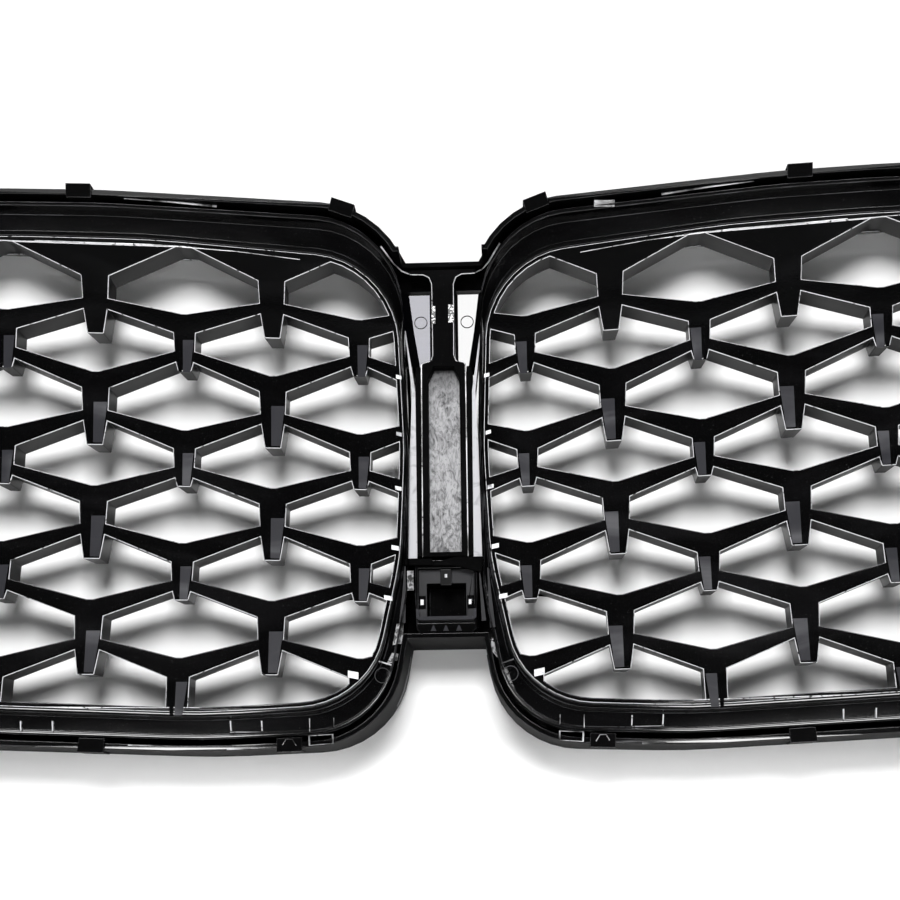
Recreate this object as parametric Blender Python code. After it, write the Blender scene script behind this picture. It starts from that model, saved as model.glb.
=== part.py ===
"""Twin-opening front grille, modelled as it would come apart on a bench.

Frame: metres, +Z up, the front of the grille faces -Y and +X is the vehicle's left.
The origin lies on the floor of the centre strip's channel, the face that bolts to the car.
"""

import math

import bmesh
import bpy
from mathutils import Matrix, Vector

MM = 0.001

# Outlines of one opening, right of the centre line: (across, up, corner radius) in millimetres.
TRIM_CORNERS = (
    (12.5, 100.3, 38.0), (12.2, 0.0, 200.0), (12.5, -62.0, 60.0), (23.0, -123.3, 38.0), (97.0, -126.4, 300.0),
    (352.0, -117.0, 44.0), (386.0, 84.0, 50.0), (190.0, 101.2, 400.0), (140.0, 102.3, 400.0),
)
CARRIER_CORNERS = (
    (17.6, 95.2, 36.5), (14.7, 0.0, 200.0), (15.6, -60.0, 60.0), (26.6, -118.6, 34.0), (97.0, -121.8, 300.0),
    (348.3, -112.6, 40.0), (381.0, 79.9, 46.0), (190.0, 96.6, 400.0), (140.0, 97.7, 400.0),
)
OPENING_CORNERS = (
    (21.8, 76.8, 34.0), (18.7, 0.0, 200.0), (20.8, -46.0, 100.0), (33.0, -105.0, 34.0), (98.0, -108.9, 300.0),
    (338.0, -100.0, 34.0), (362.0, 64.0, 38.0), (190.0, 81.6, 400.0), (120.0, 82.2, 400.0),
)
# In front of the lattice the opening is taller, so that the lip stays out of the cells' way.
FRONT_CORNERS = (
    (20.2, 92.6, 34.0), (18.7, 0.0, 200.0), (20.8, -46.0, 100.0), (33.0, -105.0, 34.0), (98.0, -108.9, 300.0),
    (338.0, -100.0, 34.0), (364.0, 77.0, 42.0), (190.0, 94.1, 400.0), (140.0, 95.0, 400.0),
)
ARC_STEPS = (9, 2, 2, 9, 2, 8, 8, 2, 2)
EDGE_STEPS = (3, 3, 2, 2, 8, 5, 6, 1, 3)

# The whole face sweeps back towards its ends and leans with height.
SWEEP = 0.197
SWEEP_SOFT = 12.0
SWEEP_CURVE = -0.000103
LEAN = 0.099
LEAN_CURVE = 0.000934
FACE_DEPTH = 6.0

# The lattice: columns of Y-shaped nodes, long and short ones in turn.
COLUMN_FIRST = 35.2
COLUMN_PITCH = 36.0
COLUMNS = 11
ROW_PITCH = 47.2
ROW_TOP = 76.4
ROWS = 5
FIRST_ROW_SHIFT = {"long": -1.0, "short": 1.1}
# Heights below a node's vertex, and half widths, of its neck and of the tab that hangs from it.
NODE_SHAPES = {
    "long": {"neck": (6.7, 5.7), "foot": (15.8, 5.25), "tab": (20.5, 4.9), "tip": (30.4, 3.3)},
    "short": {"neck": (7.8, 4.6), "foot": (15.3, 4.25), "tab": (20.1, 3.7), "tip": (23.6, 2.75)},
}
TOP_APEX = (17.8, 1.2)
MESH_DEPTH = 17.0
MESH_DRAFT = 0.8
SEAT = 2.0
SMALLEST_CELL = 45.0

# The carrier's channel: where its walls start and end between the seat and the outer edge, and its depths.
CHANNEL_SHARES = (0.16, 0.24, 0.80, 0.88)
CHANNEL_DEPTHS = (4.5, 5.5)
NARROWEST_CHANNEL = 3.0
OUTER_FLANGE = 1.5
SHELF_GAP = 0.6

FIT_GAP = 0.3
SKIRT_WALL = 2.2
SKIRT_REAR = 3.0
LIP_FRONT = -38.0
LIP_DEPTH = 4.0
LIP_GAP = 2.4

BRIDGE_TOP = 84.0
BRIDGE_BOTTOM = -80.8

# Over the bridge the skirt stops short of the ring's depth: (across, back, up) corners of the cut.
BRIDGE_NOTCH = ((-17.6, 8.0, 76.0), (17.6, 60.0, 95.0))

# Camera window in the lip, half width and heights.
WINDOW_HALF = 9.5
WINDOW_BOTTOM = -72.0
WINDOW_TOP = -54.0

BLACK_GLOSS = ((0.006, 0.006, 0.007, 1.0), 0.12)
BLACK_SATIN = ((0.012, 0.012, 0.013, 1.0), 0.35)
BLACK_STEEL = ((0.02, 0.02, 0.022, 1.0), 0.4)


def clear_scene():
    """Remove everything that the start-up file holds."""
    for thing in list(bpy.data.objects):
        bpy.data.objects.remove(thing, do_unlink=True)


def new_collection(name, hidden=False):
    collection = bpy.data.collections.new(name)
    bpy.context.scene.collection.children.link(collection)
    collection.hide_render = hidden
    return collection


def new_material(name, finish, metallic=0.0):
    colour, roughness = finish
    material = bpy.data.materials.new(name)
    material.use_nodes = True
    shader = material.node_tree.nodes["Principled BSDF"]
    shader.inputs["Base Color"].default_value = colour
    shader.inputs["Roughness"].default_value = roughness
    shader.inputs["Metallic"].default_value = metallic
    return material


def face_depth(across, up):
    """How far back the rear face of the lattice lies at a place, in millimetres."""
    sweep = SWEEP * math.hypot(across, SWEEP_SOFT) + SWEEP_CURVE * across * across
    return FACE_DEPTH + sweep + LEAN * up + LEAN_CURVE * up * up


def rounded_outline(corners):
    """A closed outline with an arc at each corner; outlines with as many corners match point for point."""
    points = []
    count = len(corners)
    arcs = []
    for index, (across, up, radius) in enumerate(corners):
        corner = Vector((across, up))
        before = (Vector(corners[index - 1][:2]) - corner).normalized()
        after = (Vector(corners[(index + 1) % count][:2]) - corner).normalized()
        half_angle = before.angle(after) / 2
        reach = radius / math.tan(half_angle)
        centre = corner + (before + after).normalized() * (radius / math.sin(half_angle))
        start = corner + before * reach - centre
        turn = start.angle_signed(corner + after * reach - centre)
        steps = ARC_STEPS[index]
        arcs.append([centre + Matrix.Rotation(-turn * step / steps, 2) @ start for step in range(steps + 1)])
    for index, arc in enumerate(arcs):
        points.extend(arc)
        following = arcs[(index + 1) % count][0]
        steps = EDGE_STEPS[index]
        points.extend(arc[-1].lerp(following, step / steps) for step in range(1, steps))
    return points


def signed_area(points):
    return sum(a.x * b.y - b.x * a.y for a, b in zip(points, points[1:] + points[:1])) / 2


def offset_outline(points, distance):
    """Move a closed outline outwards by a distance, or inwards by a negative one."""
    sign = 1.0 if signed_area(points) > 0 else -1.0
    moved = []
    for index, point in enumerate(points):
        before = (point - points[index - 1]).normalized()
        after = (points[(index + 1) % len(points)] - point).normalized()
        first = Vector((before.y, -before.x)) * sign
        second = Vector((after.y, -after.x)) * sign
        moved.append(point + (first + second) * distance / (1.0 + first.dot(second)))
    return moved


def clip_to_convex(points, fence):
    """The part of an outline that lies inside a convex fence."""
    sign = 1.0 if signed_area(fence) > 0 else -1.0
    for start, end in zip(fence, fence[1:] + fence[:1]):
        along = end - start
        if along.length < 1e-9 or not points:
            continue

        def inside(point):
            return sign * along.cross(point - start) / along.length

        kept = []
        for here, there in zip(points, points[1:] + points[:1]):
            height, next_height = inside(here), inside(there)
            if height >= 0:
                kept.append(here)
            if (height >= 0) != (next_height >= 0):
                kept.append(here.lerp(there, height / (height - next_height)))
        points = kept
    return points


def drop_repeats(points, least=0.05):
    kept = []
    for point in points:
        if not kept or (point - kept[-1]).length > least:
            kept.append(point)
    if len(kept) > 1 and (kept[0] - kept[-1]).length <= least:
        kept.pop()
    return kept


def add_object(name, mesh, collection, material):
    thing = bpy.data.objects.new(name, mesh)
    collection.objects.link(thing)
    mesh.materials.clear()
    if material:
        mesh.materials.append(material)
    return thing


def plate_mesh(name, outlines, front, rear):
    """A plate between two depths whose outline is the first one given and whose holes are the others."""
    curve = bpy.data.curves.new(name + "_outline", "CURVE")
    curve.dimensions = "2D"
    curve.fill_mode = "BOTH"
    curve.extrude = (rear - front) / 2 * MM
    for outline in outlines:
        spline = curve.splines.new("POLY")
        spline.points.add(len(outline) - 1)
        spline.use_cyclic_u = True
        for point, place in zip(spline.points, outline):
            point.co = (place.x * MM, place.y * MM, 0.0, 1.0)
    holder = bpy.data.objects.new(name + "_outline", curve)
    bpy.context.scene.collection.objects.link(holder)
    bpy.context.view_layer.update()
    mesh = bpy.data.meshes.new_from_object(holder.evaluated_get(bpy.context.evaluated_depsgraph_get()))
    bpy.data.objects.remove(holder, do_unlink=True)
    mesh.name = name
    # The drawing's up becomes the part's up, and its thickness runs along Y.
    stand = Matrix.Translation((0.0, (front + rear) / 2 * MM, 0.0)) @ Matrix.Rotation(math.pi / 2, 4, "X")
    work = bmesh.new()
    work.from_mesh(mesh)
    bmesh.ops.transform(work, matrix=stand, verts=work.verts)
    bmesh.ops.remove_doubles(work, verts=work.verts, dist=1e-6)
    bmesh.ops.recalc_face_normals(work, faces=work.faces)
    work.to_mesh(mesh)
    work.free()
    return mesh


def box_mesh(name, lowest, highest):
    """A plain box between two corners in millimetres."""
    low, high = Vector(lowest) * MM, Vector(highest) * MM
    work = bmesh.new()
    bmesh.ops.create_cube(work, size=1.0)
    bmesh.ops.scale(work, vec=high - low, verts=work.verts)
    bmesh.ops.translate(work, vec=(low + high) / 2, verts=work.verts)
    mesh = bpy.data.meshes.new(name)
    work.to_mesh(mesh)
    work.free()
    return mesh


def bend_to_face(mesh):
    """Push every point back as the face sweeps and leans."""
    for vertex in mesh.vertices:
        vertex.co.y += face_depth(vertex.co.x / MM, vertex.co.z / MM) * MM


def mirrored_mesh(mesh, name):
    copy = mesh.copy()
    copy.name = name
    work = bmesh.new()
    work.from_mesh(copy)
    bmesh.ops.scale(work, vec=(-1.0, 1.0, 1.0), verts=work.verts)
    bmesh.ops.reverse_faces(work, faces=work.faces)
    work.to_mesh(copy)
    work.free()
    return copy


def draft_front(mesh, front, draft):
    """Narrow the bars towards the front, as the moulding tool leaves them."""
    work = bmesh.new()
    work.from_mesh(mesh)
    moves = []
    for vertex in work.verts:
        walls = [face.normal for face in vertex.link_faces if abs(face.normal.y) < 0.5]
        if abs(vertex.co.y - front * MM) > 1e-6 or not walls:
            continue
        directions = []
        for normal in walls:
            if all(normal.dot(known) < 0.999 for known in directions):
                directions.append(normal)
        total = sum(directions, Vector())
        share = total.dot(directions[0])
        moves.append((vertex, total * (-draft * MM / share) if len(directions) > 1 else total * -draft * MM))
    for vertex, move in moves:
        vertex.co += move
    work.to_mesh(mesh)
    work.free()


def combine(target, tool_mesh, operation, cutters, name):
    """Cut a mesh from an object, or join one to it, with a Boolean that stays on the object."""
    tool = add_object(name, tool_mesh, cutters, None)
    tool.hide_render = True
    tool.display_type = "WIRE"
    step = target.modifiers.new(name, "BOOLEAN")
    step.operation = operation
    step.solver = "EXACT"
    step.object = tool


def apply_modifiers(thing):
    """Settle an object's modifiers into its mesh, so that the result can be bent."""
    bpy.context.view_layer.update()
    graph = bpy.context.evaluated_depsgraph_get()
    mesh = bpy.data.meshes.new_from_object(thing.evaluated_get(graph))
    thing.modifiers.clear()
    thing.data = mesh


def node_place(column, row):
    """The vertex of a lattice node and its kind; odd columns hang half a row lower."""
    kind = "short" if column % 2 else "long"
    across = COLUMN_FIRST + (column - 1) * COLUMN_PITCH
    up = ROW_TOP - (row - 1) * ROW_PITCH - (ROW_PITCH / 2 if kind == "short" else 0.0)
    if row == 1:
        up += FIRST_ROW_SHIFT[kind]
    return Vector((across, up)), NODE_SHAPES[kind]


def cell_outline(column, row):
    """The opening above a node's vertex, bounded by its neighbours' necks and the tab that hangs in."""
    vertex, _ = node_place(column, row)
    above, shape = node_place(column, row - 1)
    # A short column's neighbours stand half a row up, and carry the same row number.
    side_row = row if column % 2 else row - 1

    def corner(place, part, side):
        drop, half = part
        return Vector((place.x + side * half, place.y - drop))

    points = [vertex + Vector((-1.2, 0.25)), vertex + Vector((1.2, 0.25))]
    for side in (1, -1):
        neighbour, side_shape = node_place(column + side, side_row)
        half = [
            corner(neighbour, side_shape["foot"], -side),
            corner(neighbour, side_shape["neck"], -side),
        ]
        if row > 1:
            half += [corner(above, shape["tab"], side), corner(above, shape["tip"], side)]
        else:
            # Nothing hangs into the first row: the two slanting edges meet under the frame.
            half.append(corner(above, TOP_APEX, side))
        points.extend(half if side > 0 else reversed(half))
    return points


def bottom_cell(column):
    """The last opening of a long column, between two legs that stand on the frame."""
    above, shape = node_place(column, ROWS - 1)
    floor = -140.0
    points = []
    for side in (1, -1):
        neighbour, side_shape = node_place(column + side, ROWS - 1)
        drop, half_neck = side_shape["neck"]
        leg = neighbour.x - side * (half_neck - 0.6)
        half = [
            Vector((leg, floor)),
            Vector((neighbour.x - side * half_neck, neighbour.y - drop)),
            Vector((above.x + side * shape["tab"][1], above.y - shape["tab"][0])),
            Vector((above.x + side * shape["tip"][1], above.y - shape["tip"][0])),
        ]
        points.extend(half if side > 0 else reversed(half))
    return points


def lattice_cells(fence):
    """Every opening of one lattice, clipped to the ring around it."""
    cells = []
    for column in range(0, COLUMNS + 1):
        long_column = column % 2 == 0
        rows = range(2, ROWS) if long_column else range(1, ROWS)
        shapes = [cell_outline(column, row) for row in rows]
        if long_column:
            shapes.append(bottom_cell(column))
        for shape in shapes:
            clipped = drop_repeats(clip_to_convex(shape, fence))
            if len(clipped) > 2 and abs(signed_area(clipped)) > SMALLEST_CELL:
                cells.append(clipped)
    return cells


def make_mesh_insert(opening):
    """The lattice of one opening, with the rim that seats in its carrier."""
    cells = lattice_cells(opening)
    mesh = plate_mesh("mesh_insert_left", [offset_outline(opening, SEAT)] + cells, -MESH_DEPTH, 0.0)
    draft_front(mesh, -MESH_DEPTH, MESH_DRAFT)
    bend_to_face(mesh)
    return mesh


def loft_rings(name, loops):
    """A closed ring through loops of matching points; each loop is an outline with its depths."""
    work = bmesh.new()
    rows = []
    for outline, depths in loops:
        rows.append([
            work.verts.new((point.x * MM, depth * MM, point.y * MM)) for point, depth in zip(outline, depths)
        ])
    for row, following in zip(rows, rows[1:] + rows[:1]):
        for index in range(len(row)):
            after = (index + 1) % len(row)
            work.faces.new((row[index], row[after], following[after], following[index]))
    bmesh.ops.recalc_face_normals(work, faces=work.faces)
    mesh = bpy.data.meshes.new(name)
    work.to_mesh(mesh)
    work.free()
    return mesh


def make_carrier(opening, front_opening, outer):
    """The channel-shaped ring that holds a lattice and is gripped by the trim."""
    count = len(outer)
    seat = offset_outline(opening, SEAT + FIT_GAP)
    widths = [(a - b).length for a, b in zip(outer, seat)]
    front = LIP_FRONT + LIP_DEPTH + LIP_GAP
    shelf = -MESH_DEPTH - SHELF_GAP

    inner_top, inner_foot, outer_foot, outer_top = CHANNEL_SHARES

    def level(depth):
        return [depth] * count

    def between(share):
        return [a.lerp(b, share) for a, b in zip(seat, outer)]

    def sunk(depth):
        return [-min(depth, max(0.0, (width - NARROWEST_CHANNEL) / 2)) for width in widths]

    loops = [
        (outer, level(OUTER_FLANGE)),
        (outer, level(front)),
        (front_opening, level(front)),
        (front_opening, level(shelf)),
        (seat, level(shelf)),
        (seat, level(0.0)),
        (between(inner_top), level(0.0)),
        (between(inner_foot), sunk(CHANNEL_DEPTHS[0])),
        (between(outer_foot), sunk(CHANNEL_DEPTHS[1])),
        (between(outer_top), level(OUTER_FLANGE)),
    ]
    mesh = loft_rings("carrier_left", loops)
    bend_to_face(mesh)
    return mesh


def bridge_side(outline, up):
    """How far out an outline stands at a height on its side towards the centre line."""
    found = []
    for start, end in zip(outline, outline[1:] + outline[:1]):
        if min(start.y, end.y) <= up <= max(start.y, end.y) and start.y != end.y:
            found.append(start.lerp(end, (up - start.y) / (end.y - start.y)).x)
    return min(found)


def trim_outline(ring):
    """The outer edge of the trim, over both openings and the bridge between them."""
    half = [point for point in ring if point.x > 60.0 or not BRIDGE_BOTTOM < point.y < BRIDGE_TOP]
    turn = max(range(len(half)), key=lambda i: (half[i] - half[i - 1]).length if half[i].x < 60.0 else 0.0)
    half = half[turn:] + half[:turn]
    lower = Vector((bridge_side(ring, BRIDGE_BOTTOM), BRIDGE_BOTTOM))
    upper = Vector((bridge_side(ring, BRIDGE_TOP), BRIDGE_TOP))
    half = [lower] + half + [upper]
    other = [Vector((-point.x, point.y)) for point in reversed(half)]
    return drop_repeats(half + other, 0.3)


def make_front_trim(ring, opening, collection, cutters, material):
    """The outer trim: a skirt around the whole grille, closed in front by a lip around each opening."""
    edge = trim_outline(ring)
    skirt = plate_mesh("front_trim", [edge, offset_outline(edge, -SKIRT_WALL)], LIP_FRONT + 1.0, SKIRT_REAR)
    trim = add_object("front_trim", skirt, collection, material)
    hole = offset_outline(opening, 0.5)
    other = [Vector((-point.x, point.y)) for point in hole]
    window = mirrored_outline(((WINDOW_HALF, WINDOW_TOP), (WINDOW_HALF, WINDOW_BOTTOM)))
    lip = plate_mesh(
        "lip_join", [offset_outline(edge, -0.8), hole, other, window], LIP_FRONT, LIP_FRONT + LIP_DEPTH
    )
    combine(trim, lip, "UNION", cutters, "lip_join")
    apply_modifiers(trim)
    bend_to_face(trim.data)
    low = box_mesh("bridge_notch", *BRIDGE_NOTCH)
    combine(trim, low, "DIFFERENCE", cutters, "bridge_notch")
    return trim


# The pieces at the centre stand square to the car: (across, up) in millimetres, from the top down.
STRIP_HALF = (
    (14.5, 81.3), (14.5, 79.1), (8.4, 78.9), (6.0, 77.6), (4.9, 74.6), (4.7, 42.0), (5.6, 39.6), (8.6, 38.9),
    (9.6, 37.8), (9.6, -46.0),
)
CHANNEL_HALF = ((4.2, 37.0), (6.8, 31.0), (6.8, -44.0))
FLOOR_REAR = -5.0
FLOOR_FRONT = -7.6
WALL_REAR = 6.0
WEB_HEIGHTS = (73.6, 66.0, 58.0, 46.0, 20.0, -10.0, -46.0)
WEB_WALL_ACROSS = (9.9, 12.2)
WEB_WALL_UP = (-45.7, 37.2)
WEB_GAP = 0.5

# The camera's housing, from the top right round to the bottom, and the boxes cut from it.
BRACKET_HALF = ((13.0, -47.0), (13.0, -62.0), (12.4, -76.0), (10.5, -78.2))
BRACKET_DEPTHS = (-20.0, 4.0)
BRACKET_CUTS = {
    "camera_tunnel": ((-8.2, -21.0, -71.0), (8.2, 5.0, -56.5)),
    "plate_recess": ((-11.6, 0.5, -73.5), (11.6, 5.0, -50.6)),
    "window_left": ((9.4, -8.0, -66.5), (11.2, 2.0, -64.0)),
    "window_right": ((-11.2, -8.0, -66.5), (-9.4, 2.0, -64.0)),
}
COVER_FACE = ((-9.1, -32.4, -71.6), (9.1, -28.6, -54.4))
COVER_PLUG = ((-7.6, -29.0, -70.4), (7.6, -9.0, -57.1))
LATCH_HINGE = (0.0, 3.6, -51.6)
LATCH_BOX = ((-2.3, -0.8, -6.2), (2.3, 0.8, 0.5))

# The clips are bent from one sheet; the outer leg is the longer one.
CLIP_SHEET = 0.9
CLIP_WIDTH = 10.0
CLIP_OUTER_LEG = 9.0
CLIP_INNER_LEG = 5.0
CLIP_PLAY = 0.8
CLIPS_TOP = (41.0, 148.0, 250.0, 340.0)
CLIPS_BOTTOM = (62.0, 138.0, 240.0)


def mirrored_outline(half):
    right = [Vector(place) for place in half]
    return right + [Vector((-point.x, point.y)) for point in reversed(right)]


def make_centre_strip(collection, cutters, material):
    """The T-shaped strip, with the channel whose floor bolts to the car."""
    body = plate_mesh("centre_strip", [mirrored_outline(STRIP_HALF)], FLOOR_REAR + FIT_GAP, WALL_REAR)
    strip = add_object("centre_strip", body, collection, material)
    channel = plate_mesh("strip_channel", [mirrored_outline(CHANNEL_HALF)], 0.0, WALL_REAR + 1.0)
    combine(strip, channel, "DIFFERENCE", cutters, "strip_channel")
    return strip


def make_centre_carrier(ring, collection, cutters, material):
    """The flat web behind the bridge, with a wall along each side of the strip."""
    half = [(bridge_side(ring, up) - WEB_GAP, up) for up in WEB_HEIGHTS]
    web = plate_mesh("centre_carrier", [mirrored_outline(half)], FLOOR_FRONT, FLOOR_REAR)
    carrier = add_object("centre_carrier", web, collection, material)
    for side in (-1, 1):
        low, high = sorted(side * across for across in WEB_WALL_ACROSS)
        bottom, top = WEB_WALL_UP
        wall = box_mesh("web_wall", (low, FLOOR_FRONT + WEB_GAP, bottom), (high, WALL_REAR - WEB_GAP, top))
        combine(carrier, wall, "UNION", cutters, "web_wall_right" if side < 0 else "web_wall_left")
    return carrier


def make_camera_bracket(collection, cutters, material):
    """The housing for a camera at the foot of the bridge, open through its middle."""
    body = plate_mesh("camera_bracket", [mirrored_outline(BRACKET_HALF)], *BRACKET_DEPTHS)
    bracket = add_object("camera_bracket", body, collection, material)
    for name, (lowest, highest) in BRACKET_CUTS.items():
        combine(bracket, box_mesh(name, lowest, highest), "DIFFERENCE", cutters, name)
    return bracket


def make_camera_cover(collection, cutters, material):
    """The blank that fills the camera's window and pulls out forwards."""
    face = box_mesh("camera_cover", *COVER_FACE)
    cover = add_object("camera_cover", face, collection, material)
    plug = box_mesh("cover_plug", *COVER_PLUG)
    combine(cover, plug, "UNION", cutters, "cover_plug")
    return cover


def make_release_latch(collection, material):
    """The sprung tongue over the camera's back plate; its origin is on the line it flexes about."""
    latch = add_object("release_latch", box_mesh("release_latch", *LATCH_BOX), collection, material)
    latch.location = Vector(LATCH_HINGE) * MM
    return latch


def make_clip(name, place, outward, collection, material):
    """A spring clip pushed over the rear edge of the trim's skirt."""
    inside = SKIRT_WALL / 2 + CLIP_PLAY
    outside = inside + CLIP_SHEET
    fold = -CLIP_PLAY - CLIP_SHEET
    profile = [
        (inside, CLIP_OUTER_LEG), (outside, CLIP_OUTER_LEG), (outside, fold), (-outside, fold),
        (-outside, CLIP_INNER_LEG), (-inside, CLIP_INNER_LEG), (-inside, -CLIP_PLAY), (inside, -CLIP_PLAY),
    ]
    mesh = plate_mesh(name, [[Vector(point) for point in profile]], -CLIP_WIDTH / 2, CLIP_WIDTH / 2)
    clip = add_object(name, mesh, collection, material)
    # The profile's across points out of the ring and its up points to the front.
    tangent = Vector((-outward.y, 0.0, outward.x))
    out = Vector((outward.x, 0.0, outward.y))
    front = Vector((0.0, -1.0, 0.0))
    axis = front.cross(out)
    if axis.dot(tangent) < 0:
        tangent = -tangent
    matrix = Matrix((out, axis, front)).transposed().to_4x4()
    matrix.translation = Vector((place.x, SKIRT_REAR, place.y)) * MM
    clip.data.transform(matrix)
    if matrix.determinant() < 0:
        clip.data.flip_normals()
    bend_to_face(clip.data)
    return clip


def edge_point(edge, across, top):
    """A place on the skirt's middle line, and the direction straight out of it."""
    middle = offset_outline(edge, -SKIRT_WALL / 2)
    for start, end in zip(middle, middle[1:] + middle[:1]):
        upper = (start.y + end.y) / 2 > 0
        if upper == top and min(start.x, end.x) <= across <= max(start.x, end.x) and start.x != end.x:
            place = start.lerp(end, (across - start.x) / (end.x - start.x))
            along = (end - start).normalized()
            outward = Vector((along.y, -along.x))
            if (outward.y > 0) != top:
                outward = -outward
            return place, outward
    raise ValueError("no edge there")


def make_clips(ring, collection, material):
    edge = trim_outline(ring)
    for side, side_name in ((1, "left"), (-1, "right")):
        for top, top_name, places in ((True, "top", CLIPS_TOP), (False, "bottom", CLIPS_BOTTOM)):
            for number, across in enumerate(places, 1):
                place, outward = edge_point(edge, side * across, top)
                name = f"trim_clip_{top_name}_{side_name}_{number}"
                make_clip(name, place, outward, collection, material)


def main():
    clear_scene()
    parts = new_collection("front_grille")
    cutters = new_collection("cutters", hidden=True)
    gloss = new_material("gloss_black_plastic", BLACK_GLOSS)
    satin = new_material("satin_black_plastic", BLACK_SATIN)
    steel = new_material("black_spring_steel", BLACK_STEEL, metallic=0.6)

    ring = rounded_outline(TRIM_CORNERS)
    carrier_edge = rounded_outline(CARRIER_CORNERS)
    opening = rounded_outline(OPENING_CORNERS)
    front_opening = rounded_outline(FRONT_CORNERS)

    make_front_trim(ring, front_opening, parts, cutters, gloss)
    for base, mesh, finish in (
        ("mesh_insert", make_mesh_insert(opening), gloss),
        ("carrier", make_carrier(opening, front_opening, carrier_edge), gloss),
    ):
        add_object(base + "_left", mesh, parts, finish)
        add_object(base + "_right", mirrored_mesh(mesh, base + "_right"), parts, finish)
    make_centre_carrier(carrier_edge, parts, cutters, gloss)
    make_centre_strip(parts, cutters, gloss)
    make_camera_bracket(parts, cutters, satin)
    make_camera_cover(parts, cutters, gloss)
    make_release_latch(parts, satin)
    make_clips(ring, parts, steel)


main()
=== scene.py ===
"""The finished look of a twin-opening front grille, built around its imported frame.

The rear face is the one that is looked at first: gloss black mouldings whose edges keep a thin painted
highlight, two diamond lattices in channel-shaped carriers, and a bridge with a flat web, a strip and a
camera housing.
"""

import logging
import math
from dataclasses import dataclass
from enum import Enum

import bmesh
import bpy
from mathutils import Matrix, Quaternion, Vector


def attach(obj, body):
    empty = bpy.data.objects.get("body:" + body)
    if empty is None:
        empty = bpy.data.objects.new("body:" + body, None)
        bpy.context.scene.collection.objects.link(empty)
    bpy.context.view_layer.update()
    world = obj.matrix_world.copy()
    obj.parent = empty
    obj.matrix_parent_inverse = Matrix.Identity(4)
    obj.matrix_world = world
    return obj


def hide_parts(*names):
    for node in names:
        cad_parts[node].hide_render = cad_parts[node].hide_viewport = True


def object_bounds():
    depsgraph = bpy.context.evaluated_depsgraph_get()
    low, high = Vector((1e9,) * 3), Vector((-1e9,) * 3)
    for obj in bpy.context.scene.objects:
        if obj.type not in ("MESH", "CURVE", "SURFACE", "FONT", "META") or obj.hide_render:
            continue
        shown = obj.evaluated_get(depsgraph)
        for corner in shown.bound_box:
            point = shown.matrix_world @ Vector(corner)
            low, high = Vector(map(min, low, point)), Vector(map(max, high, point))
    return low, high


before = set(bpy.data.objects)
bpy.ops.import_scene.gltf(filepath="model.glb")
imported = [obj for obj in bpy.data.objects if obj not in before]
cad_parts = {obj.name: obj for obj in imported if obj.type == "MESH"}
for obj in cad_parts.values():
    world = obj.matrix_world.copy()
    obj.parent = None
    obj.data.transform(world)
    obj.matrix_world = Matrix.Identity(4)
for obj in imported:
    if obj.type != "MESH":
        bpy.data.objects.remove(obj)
CAD_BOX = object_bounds()

MM = 0.001
LOG = logging.getLogger("grille")


class Body(str, Enum):
    """The rigid bodies of the frame that a piece can ride on."""

    MAIN = "body"
    COVER = "cover"
    LATCH = "latch"


class Slot(str, Enum):
    """The record's material slots."""

    GLOSS = "gloss_black"
    SATIN = "satin_black"
    STEEL = "spring_steel"


@dataclass
class Value:
    """One socket of a shader, with the sums that Python expressions ask of it."""

    graph: "Graph"
    socket: bpy.types.NodeSocket

    def _sum(self, operation: str, left: object, right: object) -> "Value":
        """Add one Math node.

        Args:
            operation: The node's operation.
            left: A value or a number.
            right: A value or a number.

        Returns:
            The node's result.
        """
        return self.graph.node("ShaderNodeMath", {"operation": operation}, {0: left, 1: right})

    def __add__(self, other: object) -> "Value":
        """Add.

        Args:
            other: A value or a plain number.

        Returns:
            The resulting value.
        """
        return self._sum("ADD", self, other)

    def __radd__(self, other: object) -> "Value":
        """Add, from the right.

        Args:
            other: A value or a plain number.

        Returns:
            The resulting value.
        """
        return self._sum("ADD", other, self)

    def __sub__(self, other: object) -> "Value":
        """Subtract.

        Args:
            other: A value or a plain number.

        Returns:
            The resulting value.
        """
        return self._sum("SUBTRACT", self, other)

    def __rsub__(self, other: object) -> "Value":
        """Subtract from something else.

        Args:
            other: A value or a plain number.

        Returns:
            The resulting value.
        """
        return self._sum("SUBTRACT", other, self)

    def __mul__(self, other: object) -> "Value":
        """Multiply.

        Args:
            other: A value or a plain number.

        Returns:
            The resulting value.
        """
        return self._sum("MULTIPLY", self, other)

    def __rmul__(self, other: object) -> "Value":
        """Multiply, from the right.

        Args:
            other: A value or a plain number.

        Returns:
            The resulting value.
        """
        return self._sum("MULTIPLY", other, self)

    def at_most(self, other: object) -> "Value":
        """The smaller of the two.

        Args:
            other: A value or a plain number.

        Returns:
            The resulting value.
        """
        return self._sum("MINIMUM", self, other)

    def at_least(self, other: object) -> "Value":
        """The larger of the two.

        Args:
            other: A value or a plain number.

        Returns:
            The resulting value.
        """
        return self._sum("MAXIMUM", self, other)


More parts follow.
